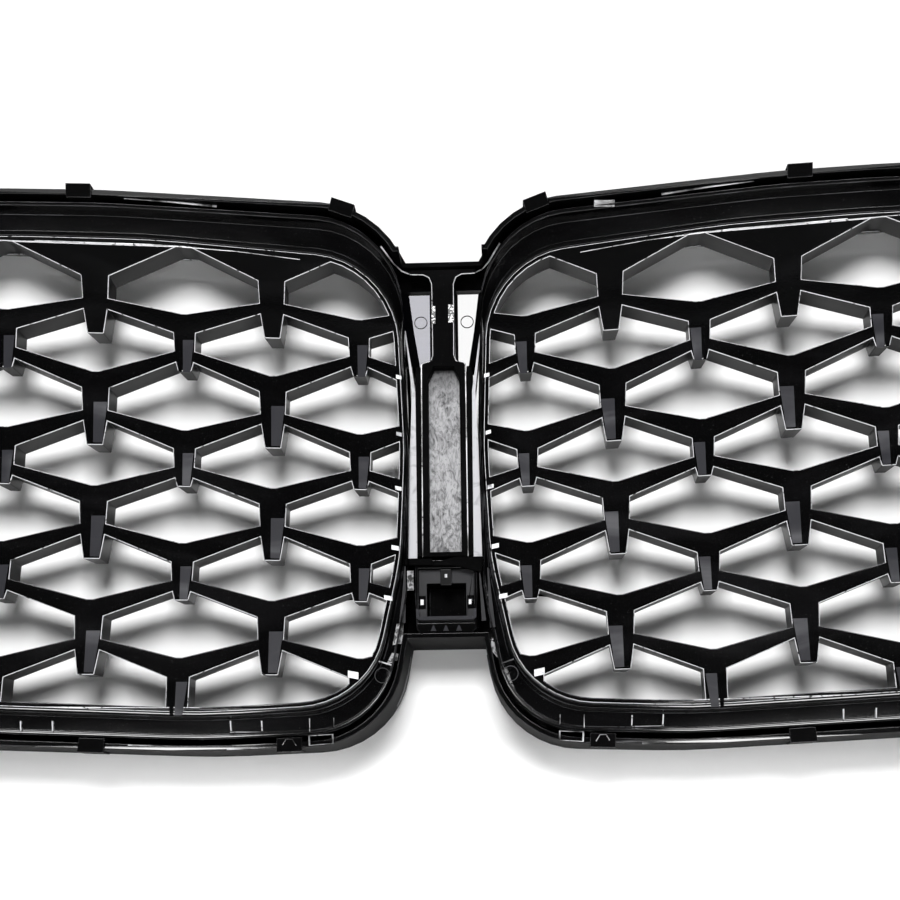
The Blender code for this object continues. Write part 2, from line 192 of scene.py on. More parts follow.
class Graph:
    """A material's node tree, filled by expressions."""

    def __init__(self, name: str) -> None:
        """Start a material with one Principled shader.

        Args:
            name: The material's name.
        """
        self.material = bpy.data.materials.new(name)
        self.material.use_nodes = True
        self.tree = self.material.node_tree
        self.shader = self.tree.nodes["Principled BSDF"]

    def node(
        self, kind: str, settings: dict | None = None, inputs: dict | None = None, out: object = 0
    ) -> Value:
        """Add one node of any type.

        Args:
            kind: The node's type.
            settings: Properties that are set before the sockets, such as an operation or a ramp's stops.
            inputs: Values or links for its sockets, by name or number.
            out: The socket that is returned, by name or number.

        Returns:
            The chosen output.
        """
        made = self.tree.nodes.new(kind)
        for key, setting in (settings or {}).items():
            if key == "stops":
                self._fill_ramp(made, setting)
            else:
                setattr(made, key, setting)
        for key, value in (inputs or {}).items():
            if isinstance(value, Value):
                self.tree.links.new(value.socket, made.inputs[key])
            else:
                made.inputs[key].default_value = value
        return Value(self, made.outputs[out])

    @staticmethod
    def _fill_ramp(made: bpy.types.Node, stops: list[tuple[float, tuple[float, ...]]]) -> None:
        """Give a colour ramp its stops.

        Args:
            made: The ramp node.
            stops: Places from 0 to 1 with their colours.
        """
        elements = made.color_ramp.elements
        while len(elements) > len(stops):
            elements.remove(elements[-1])
        while len(elements) < len(stops):
            elements.new(1.0)
        for element, (place, colour) in zip(elements, stops):
            element.position = place
            element.color = colour

    def place(self, scale: tuple[float, float, float] = (1.0, 1.0, 1.0)) -> Value:
        """The point on the object, stretched along each axis.

        Args:
            scale: How much the coordinates are stretched along each axis.

        Returns:
            The resulting value.
        """
        point = self.node("ShaderNodeTexCoord", out="Object")
        return self.node("ShaderNodeMapping", {}, {"Vector": point, "Scale": scale})

    def noise(
        self, scale: float, detail: float = 2.0, point: Value | None = None, distortion: float = 0.0
    ) -> Value:
        """Soft noise from 0 to 1.

        Args:
            scale: Patches per metre.
            detail: Octaves.
            point: Where it is read, or the point on the object.
            distortion: How far it is swirled.

        Returns:
            The noise.
        """
        inputs = {
            "Vector": point or self.place(), "Scale": scale, "Detail": detail, "Distortion": distortion
        }
        return self.node("ShaderNodeTexNoise", {}, inputs, "Fac")

    def step(self, value: Value, low: float, high: float) -> Value:
        """A smooth step from 0 at low to 1 at high.

        Args:
            value: The value to read.
            low: Where the result starts to rise from 0.
            high: Where the result reaches 1.

        Returns:
            The resulting value.
        """
        settings = {"interpolation_type": "SMOOTHSTEP"}
        inputs = {"Value": value, "From Min": low, "From Max": high}
        return self.node("ShaderNodeMapRange", settings, inputs)

    def mix(self, factor: Value, dark: tuple[float, ...], light: tuple[float, ...]) -> Value:
        """A colour between two.

        Args:
            factor: How much of the light colour is taken.
            dark: The colour at 0.
            light: The colour at 1.

        Returns:
            The resulting value.
        """
        inputs = {"Factor": factor, 6: dark, 7: light}
        return self.node("ShaderNodeMix", {"data_type": "RGBA"}, inputs, 2)

    def bump(self, height: Value, distance: float, strength: float = 1.0) -> Value:
        """A normal from a height.

        Args:
            height: The relief to shade.
            distance: Its full height in metres.
            strength: How strongly it shows.

        Returns:
            The resulting value.
        """
        inputs = {"Height": height, "Distance": distance, "Strength": strength}
        return self.node("ShaderNodeBump", {}, inputs)

    def feed(self, **sockets: object) -> None:
        """Set or link the shader's sockets.

        Args:
            sockets: A value or link for each socket; underscores in a name stand for spaces.
        """
        for name, value in sockets.items():
            socket = self.shader.inputs[name.replace("_", " ")]
            if isinstance(value, Value):
                self.tree.links.new(value.socket, socket)
            else:
                socket.default_value = value


@dataclass(frozen=True)
class MouldedBlack:
    """Black moulded plastic, with flow marks, faint orange peel and dust."""

    name: str
    colour: tuple[float, float, float, float] = (0.0010, 0.0010, 0.0011, 1.0)
    haze: tuple[float, float, float, float] = (0.0035, 0.0035, 0.0038, 1.0)
    roughness: float = 0.05
    roughness_spread: float = 0.06
    peel: float = 0.012
    specular: float = 0.5

    def make(self) -> bpy.types.Material:
        """Build the material.

        Returns:
            The material.
        """
        graph = Graph(self.name)
        flow = graph.noise(14.0, 4.0, graph.place((1.0, 1.0, 3.0)), 1.4)
        fine = graph.noise(900.0, 2.0)
        dust = graph.step(graph.noise(2600.0, 1.0), 0.74, 0.80)
        colour = graph.mix(graph.step(flow, 0.45, 0.75), self.colour, self.haze)
        graph.feed(
            Base_Color=graph.node(
                "ShaderNodeMix",
                {"data_type": "RGBA"},
                {"Factor": dust * 0.12, 6: colour, 7: (0.2, 0.2, 0.2, 1.0)},
                2,
            ),
            Roughness=flow * self.roughness_spread + self.roughness + dust * 0.3,
            Normal=graph.bump(fine + flow * 0.6, self.peel * MM, 0.5),
            IOR=1.5,
            Specular_IOR_Level=self.specular,
        )
        return graph.material


@dataclass(frozen=True)
class PaintedHighlightEdge:
    """The thin rounded edge of a gloss moulding, whose light base colour is a painted highlight in broken
    runs, with small dents in its bump.
    """

    name: str
    dark: tuple[float, float, float, float] = (0.02, 0.02, 0.02, 1.0)
    light: tuple[float, float, float, float] = (0.62, 0.62, 0.64, 1.0)
    share: float = 0.5

    def make(self) -> bpy.types.Material:
        """Build the material.

        Returns:
            The material.
        """
        graph = Graph(self.name)
        runs = graph.step(graph.noise(70.0, 3.0), self.share - 0.12, self.share + 0.12)
        nicks_and_highlight_gaps = graph.step(graph.noise(500.0, 2.0), 0.28, 0.42)
        # Base colour: painted highlight along the rounded edge, broken into runs and gaps by noise.
        graph.feed(
            Base_Color=graph.mix(runs * nicks_and_highlight_gaps, self.dark, self.light),
            Roughness=0.22,
            IOR=1.5,
            Normal=graph.bump(nicks_and_highlight_gaps, 0.02 * MM),
        )
        return graph.material


@dataclass(frozen=True)
class FlowMarkedFloor:
    """The mottled floor of the strip, where two streams of plastic met, with painted shade that darkens its
    top.
    """

    name: str
    dark: tuple[float, float, float, float] = (0.012, 0.012, 0.013, 1.0)
    light: tuple[float, float, float, float] = (0.4, 0.4, 0.41, 1.0)

    def make(self) -> bpy.types.Material:
        """Build the material.

        Returns:
            The material.
        """
        graph = Graph(self.name)
        flakes = graph.noise(420.0, 5.0, graph.place((1.0, 1.0, 0.5)), 1.6)
        blots = graph.noise(110.0, 3.0, graph.place((1.0, 1.0, 0.6)), 0.8)
        cracks = graph.step(graph.noise(650.0, 3.0, graph.place((1.0, 1.0, 0.35)), 3.0), 0.38, 0.46)
        mottle = graph.step(flakes + blots * 0.6, 0.38, 0.98) * (cracks * 0.4 + 0.6)
        height = graph.node(
            "ShaderNodeSeparateXYZ", {}, {"Vector": graph.node("ShaderNodeTexCoord", out="Object")}, "Z"
        )
        # Painted shade: above 18 mm up the mottle gives way to the dark colour, where the floor turns from
        # the light.
        painted_shade_at_top = 1.0 - graph.step(height, 18.0 * MM, 44.0 * MM)
        graph.feed(
            Base_Color=graph.mix(mottle * painted_shade_at_top, self.dark, self.light),
            Roughness=0.6 - mottle * 0.1,
            Normal=graph.bump(flakes + blots, 0.06 * MM, 0.6),
            IOR=1.5,
            Specular_IOR_Level=0.1,
        )
        return graph.material


@dataclass(frozen=True)
class LitPad:
    """A small flat that faces the light squarely, with a trace of flow in it; on the lit pads and ledges
    its light base colour is a painted highlight.
    """

    name: str
    dark: tuple[float, float, float, float] = (0.22, 0.22, 0.23, 1.0)
    light: tuple[float, float, float, float] = (0.85, 0.85, 0.87, 1.0)
    low: float = 0.25
    high: float = 0.5
    scale: float = 160.0

    def make(self) -> bpy.types.Material:
        """Build the material.

        Returns:
            The material.
        """
        graph = Graph(self.name)
        flow = graph.noise(self.scale, 4.0, graph.place(), 1.2)
        graph.feed(
            Base_Color=graph.mix(graph.step(flow, self.low, self.high), self.dark, self.light),
            Roughness=flow * 0.2 + 0.25,
            Normal=graph.bump(flow, 0.03 * MM),
            IOR=1.5,
        )
        return graph.material


def settle(work: bmesh.types.BMesh, name: str, finishes: list[bpy.types.Material]) -> bpy.types.Object:
    """Turn a bmesh into an object in the scene.

    Args:
        work: The bmesh, which is freed.
        name: The piece's name.
        finishes: Its materials, in the order of its faces' numbers.

    Returns:
        The object.
    """
    mesh = bpy.data.meshes.new(name)
    work.to_mesh(mesh)
    work.free()
    for finish in finishes:
        mesh.materials.append(finish)
    piece = bpy.data.objects.new(name, mesh)
    bpy.context.scene.collection.objects.link(piece)
    return piece


def add_piece(piece: bpy.types.Object, body: Body) -> bpy.types.Object:
    """Attach a finished piece to its body, and report it.

    Args:
        piece: The piece.
        body: The body it rides on.

    Returns:
        The same piece.
    """
    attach(piece, body.value)
    LOG.info("%s: %d faces on %s", piece.name, len(piece.data.polygons), body.value)
    return piece


@dataclass
class EdgedMoulding:
    """A frame node seen again as a moulding, with rounded edges whose rear rims carry painted highlights.
    """

    node: str
    face: bpy.types.Material
    edge: bpy.types.Material
    upper_edge: bpy.types.Material
    body: Body = Body.MAIN
    slot: Slot = Slot.GLOSS
    radius: float = 0.3 * MM
    segments: int = 2
    sharp: float = math.radians(28.0)
    extra: tuple[bpy.types.Material, ...] = ()
    upward: float = 0.35
    lit_tilt: float = 0.3

    def merged(self) -> bmesh.types.BMesh:
        """A copy of the node's mesh with its loose triangles joined.

        Returns:
            The joined mesh.
        """
        work = bmesh.new()
        work.from_mesh(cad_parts[self.node].data)
        bmesh.ops.remove_doubles(work, verts=work.verts, dist=1e-5)
        bmesh.ops.recalc_face_normals(work, faces=work.faces)
        return work

    def round_edges(self, work: bmesh.types.BMesh) -> None:
        """Bevel every sharp edge and give the rear rims the edge finishes, which paint highlights on them.

        Args:
            work: The mesh that is changed.
        """
        sharp = [
            edge for edge in work.edges
            if len(edge.link_faces) == 2 and edge.calc_face_angle(0.0) > self.sharp
        ]
        made = bmesh.ops.bevel(
            work,
            geom=sharp,
            offset=self.radius,
            offset_type="OFFSET",
            segments=self.segments,
            profile=0.5,
            affect="EDGES",
            clamp_overlap=False,
            material=-1,
        )
        for face in work.faces:
            face.smooth = True
        # Bevels that face back take the painted highlight finishes; those that also face up take the second
        # one, which on the lattices is dimmer.
        for face in made["faces"]:
            if face.normal.y > self.lit_tilt:
                face.material_index = 2 if face.normal.z > self.upward else 1

    def paint(self, work: bmesh.types.BMesh) -> None:
        """Give some faces another finish; the plain moulding has none.

        Args:
            work: The mesh after its edges are rounded.
        """

    def build(self) -> bpy.types.Object:
        """Make the piece in place of its node.

        Returns:
            The piece.
        """
        work = self.merged()
        self.round_edges(work)
        self.paint(work)
        finishes = [self.face, self.edge, self.upper_edge, *self.extra]
        piece = settle(work, self.node + "_moulding", finishes)
        normals = piece.modifiers.new("even_normals", "WEIGHTED_NORMAL")
        normals.keep_sharp = True
        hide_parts(self.node)
        return add_piece(piece, self.body)


@dataclass
class BridgeStrip(EdgedMoulding):
    """The strip between the openings, whose channel floor shows flow marks."""

    floor_half_width: float = 6.9 * MM
    rim_half_width: float = 7.8 * MM
    rim_top: float = 38.2 * MM
    head_top: float = 80.0 * MM
    head_half_width: float = 14.2 * MM

    def paint(self, work: bmesh.types.BMesh) -> None:
        """Give the channel's floor its own finish.

        Args:
            work: The mesh after its edges are rounded.
        """
        for face in work.faces:
            centre = face.calc_center_median()
            on_floor = abs(centre.y) < 0.1 * MM and abs(centre.x) < self.floor_half_width
            if face.normal.y > 0.9 and on_floor:
                face.material_index = 3
            elif centre.z > self.head_top or abs(centre.x) > self.head_half_width:
                face.material_index = 0
            elif abs(centre.x) < self.rim_half_width and centre.z < self.rim_top:
                face.material_index = 0


@dataclass
class LatticeMoulding(EdgedMoulding):
    """A lattice whose cell walls are less glossy than its face."""

    wall_tilt: float = 0.3

    def paint(self, work: bmesh.types.BMesh) -> None:
        """Give the walls of the cells their own finish.

        Args:
            work: The mesh after its edges are rounded.
        """
        for face in work.faces:
            if face.material_index == 0 and abs(face.normal.y) < self.wall_tilt:
                face.material_index = 3


@dataclass
class WebCarrier(EdgedMoulding):
    """The bridge's carrier: a web that faces the light between duller walls."""

    def paint(self, work: bmesh.types.BMesh) -> None:
        """Dull everything but the web.

        Args:
            work: The mesh after its edges are rounded.
        """
        for face in work.faces:
            if face.calc_center_median().y > 0.0 or face.normal.y < 0.5:
                face.material_index = 3


@dataclass
class CameraHousing(EdgedMoulding):
    """The camera's housing, whose recessed back plate is greyer than its rim, a painted sheen."""

    plate_depth: float = 0.5 * MM

    def paint(self, work: bmesh.types.BMesh) -> None:
        """Give the back plate its own finish.

        Args:
            work: The mesh after its edges are rounded.
        """
        for face in work.faces:
            centre = face.calc_center_median()
            if face.normal.y > 0.9 and abs(centre.y - self.plate_depth) < 0.1 * MM:
                face.material_index = 3


@dataclass
class TrimSkirt(EdgedMoulding):
    """The outer trim, whose walls and bridge edge are duller than its rim."""

    wall_tilt: float = 0.55
    bridge_half_width: float = 18.0 * MM
    bridge_height: float = 76.0 * MM

    def paint(self, work: bmesh.types.BMesh) -> None:
        """Dull the walls and the cut edge over the bridge.

        Args:
            work: The mesh after its edges are rounded.
        """
        for face in work.faces:
            centre = face.calc_center_median()
            on_bridge = abs(centre.x) < self.bridge_half_width and centre.z > self.bridge_height
            if abs(face.normal.y) < self.wall_tilt or on_bridge:
                face.material_index = 3


def sweep(across: float, up: float) -> float:
    """How far back the grille's face lies at a place, all in millimetres.

    Args:
        across: The place along X.
        up: The place along Z.

    Returns:
        The depth along Y.
    """
    side = 0.197 * math.hypot(across, 12.0) - 0.000103 * across * across
    return 6.0 + side + 0.099 * up + 0.000934 * up * up


@dataclass
class PlateSet:
    """Small moulded plates, or plates painted with highlights, that share one finish and make one piece."""

    name: str
    finish: bpy.types.Material
    body: Body = Body.MAIN
    slot: Slot = Slot.GLOSS
    thickness: float = 0.25
    steps: int = 3

    def __post_init__(self) -> None:
        """Start with an empty mesh."""
        self.work = bmesh.new()

    def quad(
        self,
        corners: tuple[tuple[float, float], ...],
        depths: tuple[float, float, float, float],
        thickness: float | None = None,
        frame_width: float = 0.0,
        steps: tuple[int, int] = (1, 1),
        bent: bool = False,
    ) -> None:
        """Add one four-sided plate.

        Args:
            corners: Its (across, up) corners in millimetres, from bottom left round by bottom right.
            depths: The depth of each corner's rear face, in millimetres.
            thickness: How far it reaches forwards, or the set's own thickness.
            frame_width: If over 0, only a frame of this share of the plate is kept.
            steps: How many cells it has across and up.
            bent: True adds the sweep of the grille's face to the depths.
        """
        work = bmesh.new()
        bmesh.ops.create_grid(work, x_segments=steps[0], y_segments=steps[1], size=0.5)
        if frame_width > 0.0:
            made = bmesh.ops.inset_region(
                work, faces=work.faces[:], thickness=frame_width, use_even_offset=True, use_boundary=True
            )
            ring = set(made["faces"])
            inner = [face for face in work.faces if face not in ring]
            bmesh.ops.delete(work, geom=inner, context="FACES")
        for vert in work.verts:
            share, rise = vert.co.x + 0.5, vert.co.y + 0.5
            low = Vector(corners[0]).lerp(Vector(corners[1]), share)
            high = Vector(corners[3]).lerp(Vector(corners[2]), share)
            place = low.lerp(high, rise)
            near = depths[0] + (depths[1] - depths[0]) * share
            far = depths[3] + (depths[2] - depths[3]) * share
            depth = near + (far - near) * rise
            if bent:
                depth += sweep(place.x, place.y)
            vert.co = Vector((place.x, depth, place.y)) * MM
        self._thicken(work, self.thickness if thickness is None else thickness)

    def bead(
        self, points: tuple[tuple[float, float, float], ...], widths: tuple[float, float], side: int = 1
    ) -> None:
        """Add a narrow line through points.

        Args:
            points: Its (across, back, up) points in millimetres.
            widths: Its width at its start and at its end.
            side: -1 mirrors it to the other side of the bridge.
        """
        last = len(points) - 1
        edges = []
        for index, point in enumerate(points):
            before, after = points[max(index - 1, 0)], points[min(index + 1, last)]
            along = Vector((after[0] - before[0], after[2] - before[2])).normalized()
            half = (widths[0] + (widths[1] - widths[0]) * index / last) / 2
            normal = Vector((-along.y, along.x)) * half
            place = Vector((point[0], point[2]))
            edges.append((place - normal, place + normal, point[1]))
        for (low, high, back), (next_low, next_high, next_back) in zip(edges, edges[1:]):
            corners = tuple((side * corner.x, corner.y) for corner in (low, next_low, next_high, high))
            self.quad(corners, (back, next_back, next_back, back))

    def block(
        self, across: tuple[float, float], up: tuple[float, float], back: float, side: int = 1
    ) -> None:
        """Add an upright rectangle.

        Args:
            across: Its edges along X in millimetres.
            up: Its bottom and top in millimetres.
            back: Its rear face's depth in millimetres.
            side: -1 mirrors it to the other side of the bridge.
        """
        first, second = side * across[0], side * across[1]
        self.quad(((first, up[0]), (second, up[0]), (second, up[1]), (first, up[1])), (back,) * 4)

    def disc(
        self, centre: tuple[float, float], radius: float, depth: float, ring: float, bent: bool
    ) -> None:
        """Add a thin circle, such as an ejector pin leaves.

        Args:
            centre: Its (across, up) centre in millimetres.
            radius: Its radius in millimetres.
            depth: Its rear face's depth in millimetres.
            ring: Its line's width in millimetres.
            bent: True adds the sweep of the grille's face to the depth.
        """
        work = bmesh.new()
        bmesh.ops.create_circle(work, cap_ends=True, segments=40, radius=radius)
        made = bmesh.ops.inset_region(
            work, faces=work.faces[:], thickness=ring, use_even_offset=True, use_boundary=True
        )
        ring_faces = set(made["faces"])
        inner = [face for face in work.faces if face not in ring_faces]
        bmesh.ops.delete(work, geom=inner, context="FACES")
        for vert in work.verts:
            place = Vector((centre[0] + vert.co.x, centre[1] + vert.co.y))
            back = depth + (sweep(place.x, place.y) if bent else 0.0)
            vert.co = Vector((place.x, back, place.y)) * MM
        self._thicken(work, self.thickness)

    def _thicken(self, work: bmesh.types.BMesh, thickness: float) -> None:
        """Close a sheet into a plate that reaches forwards, and keep it.

        Args:
            work: The sheet, which is freed.
            thickness: Its thickness in millimetres.
        """
        bmesh.ops.remove_doubles(work, verts=work.verts, dist=1e-7)
        bmesh.ops.recalc_face_normals(work, faces=work.faces)
        if sum(face.normal.y for face in work.faces) < 0.0:
            bmesh.ops.reverse_faces(work, faces=work.faces)
        made = bmesh.ops.extrude_face_region(work, geom=work.faces[:])
        moved = [item for item in made["geom"] if isinstance(item, bmesh.types.BMVert)]
        bmesh.ops.translate(work, vec=(0.0, -thickness * MM, 0.0), verts=moved)
        bmesh.ops.recalc_face_normals(work, faces=work.faces)
        mesh = bpy.data.meshes.new("plate")
        work.to_mesh(mesh)
        work.free()
        self.work.from_mesh(mesh)
        bpy.data.meshes.remove(mesh)

    def build(self) -> bpy.types.Object:
        """Make the piece.

        Returns:
            The piece.
        """
        return add_piece(settle(self.work, self.name, [self.finish]), self.body)


@dataclass
class Lattice:
    """Where the lattice's nodes stand, and the grooved relief on the tabs that hang from them."""

    first: float = 35.2
    pitch: float = 36.0
    columns: int = 10
    row_pitch: float = 47.2
    row_top: float = 76.4
    rows: int = 4
    long_tab: tuple[float, float, float, float] = (12.6, 29.4, 4.9, 3.0)
    short_tab: tuple[float, float, float, float] = (9.6, 23.0, 3.8, 2.4)
    ridge: float = 0.9

    def tabs(self) -> list[tuple[float, float, bool, int]]:
        """List every tab.

        Returns:
            Across and up of its vertex in millimetres, whether its column is a short one, and its row.
        """
        found = []
        for column in range(1, self.columns + 1):
            short = column % 2 == 1
            for row in range(1, self.rows + 1):
                if column == 1 and row == self.rows:
                    continue
                up = self.row_top - (row - 1) * self.row_pitch - (self.row_pitch / 2 if short else 0.0)
                if not short and row == 1:
                    continue
                found.append((self.first + (column - 1) * self.pitch, up, short, row))
        return found

    def build(self, inward: bpy.types.Material, outward: bpy.types.Material) -> None:
        """Make the two facets of every tab, on both sides.

        Args:
            inward: The finish of the facets on the side towards the bridge.
            outward: The finish of the others.
        """
        for side, side_name in ((1, "left"), (-1, "right")):
            near = PlateSet("tab_facets_inner_" + side_name, inward)
            far = PlateSet("tab_facets_outer_" + side_name, outward)
            for across, up, short, _row in self.tabs():
                start, end, wide, narrow = self.short_tab if short else self.long_tab
                for plates, way in ((near, -1.0), (far, 1.0)):
                    gap = self.ridge + 0.25 * way
                    corners = [
                        (side * (across + gap), up - end),
                        (side * (across + way * narrow), up - end),
                        (side * (across + way * wide), up - start),
                        (side * (across + gap), up - start),
                    ]
                    plates.quad(tuple(corners), (0.1, 0.5, 0.5, 0.1), 0.4, steps=(2, 4), bent=True)
            near.build()
            far.build()


@dataclass
class Finishes:
    """Every finish the grille uses, made once."""

    def __post_init__(self) -> None:
        """Build the materials."""
        self.gloss = MouldedBlack("gloss_black").make()
        self.dull = MouldedBlack("dull_black", roughness=0.55, roughness_spread=0.2, specular=0.035).make()
        self.wall = MouldedBlack("wall_black", roughness=0.25, roughness_spread=0.1, specular=0.045).make()
        self.satin = MouldedBlack(
            "satin_black", roughness=0.4, roughness_spread=0.2, peel=0.02, specular=0.2
        ).make()
        # Painted highlights for bevels and thin lines: a bright one, a dimmer one for lattice bevels that
        # face up, a faint one and a broken one.
        self.edge = PaintedHighlightEdge("painted_highlight_edge", share=0.25).make()
        self.soft_painted_highlight = PaintedHighlightEdge("soft_painted_highlight", light=(0.14, 0.14, 0.15, 1.0), share=0.45).make()
        self.faint = PaintedHighlightEdge(
            "faint_painted_highlight", dark=(0.003, 0.003, 0.003, 1.0), light=(0.035, 0.035, 0.038, 1.0), share=0.55
        ).make()
        self.broken = PaintedHighlightEdge("broken_painted_highlight", share=0.5).make()
        self.floor = FlowMarkedFloor("flow_marked_floor").make()
        # Grey for the tabs' inward facets: painted sheen; the housing lip uses it too.
        self.facet = MouldedBlack(
            "grey_facet", (0.02, 0.02, 0.024, 1.0), (0.078, 0.078, 0.084, 1.0), 0.35, 0.1, specular=0.18
        ).make()
        # Grey that paints sheen on the housing's back plate, highlights on the side slivers and a
        # reflection on the skirt lips; the band's pin marks use it too.
        self.plate = MouldedBlack(
            "grey_plate", (0.035, 0.035, 0.037, 1.0), (0.085, 0.085, 0.09, 1.0), 0.45, 0.1, specular=0.1
        ).make()
        # Light pads and ledges: painted highlights on flats that face the lamp.
        self.pad = LitPad("lit_pad").make()
        self.ledge = LitPad("lit_ledge", light=(0.42, 0.42, 0.44, 1.0)).make()
        self.mottled = LitPad(
            "mottled_pad", (0.02, 0.02, 0.02, 1.0), (0.34, 0.34, 0.35, 1.0), 0.4, 0.6, 420.0
        ).make()
        self.scuff = LitPad(
            "scuffed_patch", (0.003, 0.003, 0.003, 1.0), (0.8, 0.8, 0.8, 1.0), 0.5, 0.58, 700.0
        ).make()
        self.tint = MouldedBlack(
            "cool_black", (0.02, 0.02, 0.05, 1.0), (0.03, 0.03, 0.08, 1.0), 0.03, 0.02, specular=0.26
        ).make()
        self.line = MouldedBlack("ring_line", roughness=0.6, specular=0.03).make()


@dataclass
class BridgeDetails:
    """What the moulding shows between the openings: flanks, ledges, arm ends and pin marks; the ledges, arm
    ends and rim lines are painted highlights.
    """

    finishes: Finishes
    # The flank covers the web's outer part; its inner edge bounds the bright wedge: (inner, outer, up).
    flank: tuple[tuple[float, float, float], ...] = (
        (15.4, 20.0, 73.4), (13.2, 17.0, 56.0), (10.3, 13.9, 38.0),
    )
    # The ledge beside the strip, a painted highlight: (inner, outer, up, back).
    ledge: tuple[tuple[float, float, float, float], ...] = (
        (16.2, 16.6, 53.2, 7.0), (12.2, 13.6, 25.8, 6.4), (12.0, 14.6, 0.0, 6.2), (11.8, 15.4, -46.6, 6.2),
    )
    # Ends of the lattice's arms on the ring, painted highlights: (across, up, width, height).
    arm_ends: tuple[tuple[float, float, float, float], ...] = (
        (18.7, 30.4, 2.2, 1.5), (18.9, 6.2, 2.2, 1.5), (19.4, -16.9, 2.6, 1.6), (20.9, -42.1, 3.0, 1.8),
        (23.8, -63.2, 3.4, 1.8), (37.9, -95.0, 4.2, 2.8),
    )
    pin_mark: tuple[float, float, float] = (10.2, 60.6, 2.9)
    strip_rim: tuple[tuple[float, float, float], ...] = ((9.5, 6.2, 38.0), (9.5, 6.2, -46.0))
    shoulder: tuple[tuple[float, float, float], ...] = (
        (25.4, 24.5, 85.6), (22.9, 20.0, 83.2), (20.6, 15.0, 81.2), (17.6, 9.0, 79.9), (14.4, 6.3, 79.4),
    )

    def build(self) -> None:
        """Make every piece on both sides."""
        flank = PlateSet("web_flanks", self.finishes.dull)
        ledge = PlateSet("side_ledges", self.finishes.ledge)
        ends = PlateSet("arm_ends", self.finishes.pad)
        marks = PlateSet("web_pin_marks", self.finishes.line, thickness=0.2)
        # Thin lines along the strip's rim and shoulder: painted highlights.
        rims = PlateSet("strip_rims", self.finishes.broken)
        gaps = PlateSet("stem_gaps", self.finishes.dull)
        for side in (1, -1):
            for (low_in, low_out, low), (high_in, high_out, high) in zip(self.flank[1:], self.flank):
                corners = (
                    (side * low_in, low), (side * low_out, low),
                    (side * high_out, high), (side * high_in, high),
                )
                flank.quad(corners, (-4.4, 4.0, 6.0, -4.4), 0.5)
            for low, high in zip(self.ledge[1:], self.ledge):
                corners = (
                    (side * low[0], low[2]), (side * low[1], low[2]), (side * high[1], high[2]),
                    (side * high[0], high[2]),
                )
                ledge.quad(corners, (low[3], low[3], high[3], high[3]), 0.6)
            for across, up, width, height in self.arm_ends:
                inner, outer = side * (across - width / 2), side * (across + width / 2)
                low, high = up - height / 2, up + height / 2
                slant = height * 0.3
                corners = ((inner, low - slant), (outer, low), (outer, high), (inner, high - slant))
                ends.quad(corners, (0.3,) * 4, 0.5, bent=True)
            across, up, radius = self.pin_mark
            marks.disc((side * across, up), radius, -4.8, 0.35, False)
            rims.bead(self.strip_rim, (0.4, 0.4), side)
            rims.bead(self.shoulder, (0.7, 0.5), side)
            gaps.block((4.95, 6.2), (39.6, 73.4), -4.6, side)
            corners = ((side * 15.8, 83.6), (side * 18.8, 83.6), (side * 20.4, 90.4), (side * 19.4, 90.4))
            gaps.quad(corners, (8.0,) * 4, 0.6)
        for plates in (flank, ledge, ends, marks, rims, gaps):
            plates.build()
        web = PlateSet("web_skin_left", self.finishes.tint, thickness=0.08)
        web.quad(((6.0, 38.6), (10.8, 38.6), (15.6, 73.2), (6.0, 73.2)), (-4.9,) * 4)
        web.build()
        scuffs = PlateSet("stem_scuffs", self.finishes.scuff, thickness=0.1)
        scuffs.block((4.9, 3.3), (56.4, 64.4), 6.12)
        scuffs.block((-4.8, -2.4), (56.8, 65.0), 6.12)
        scuffs.build()


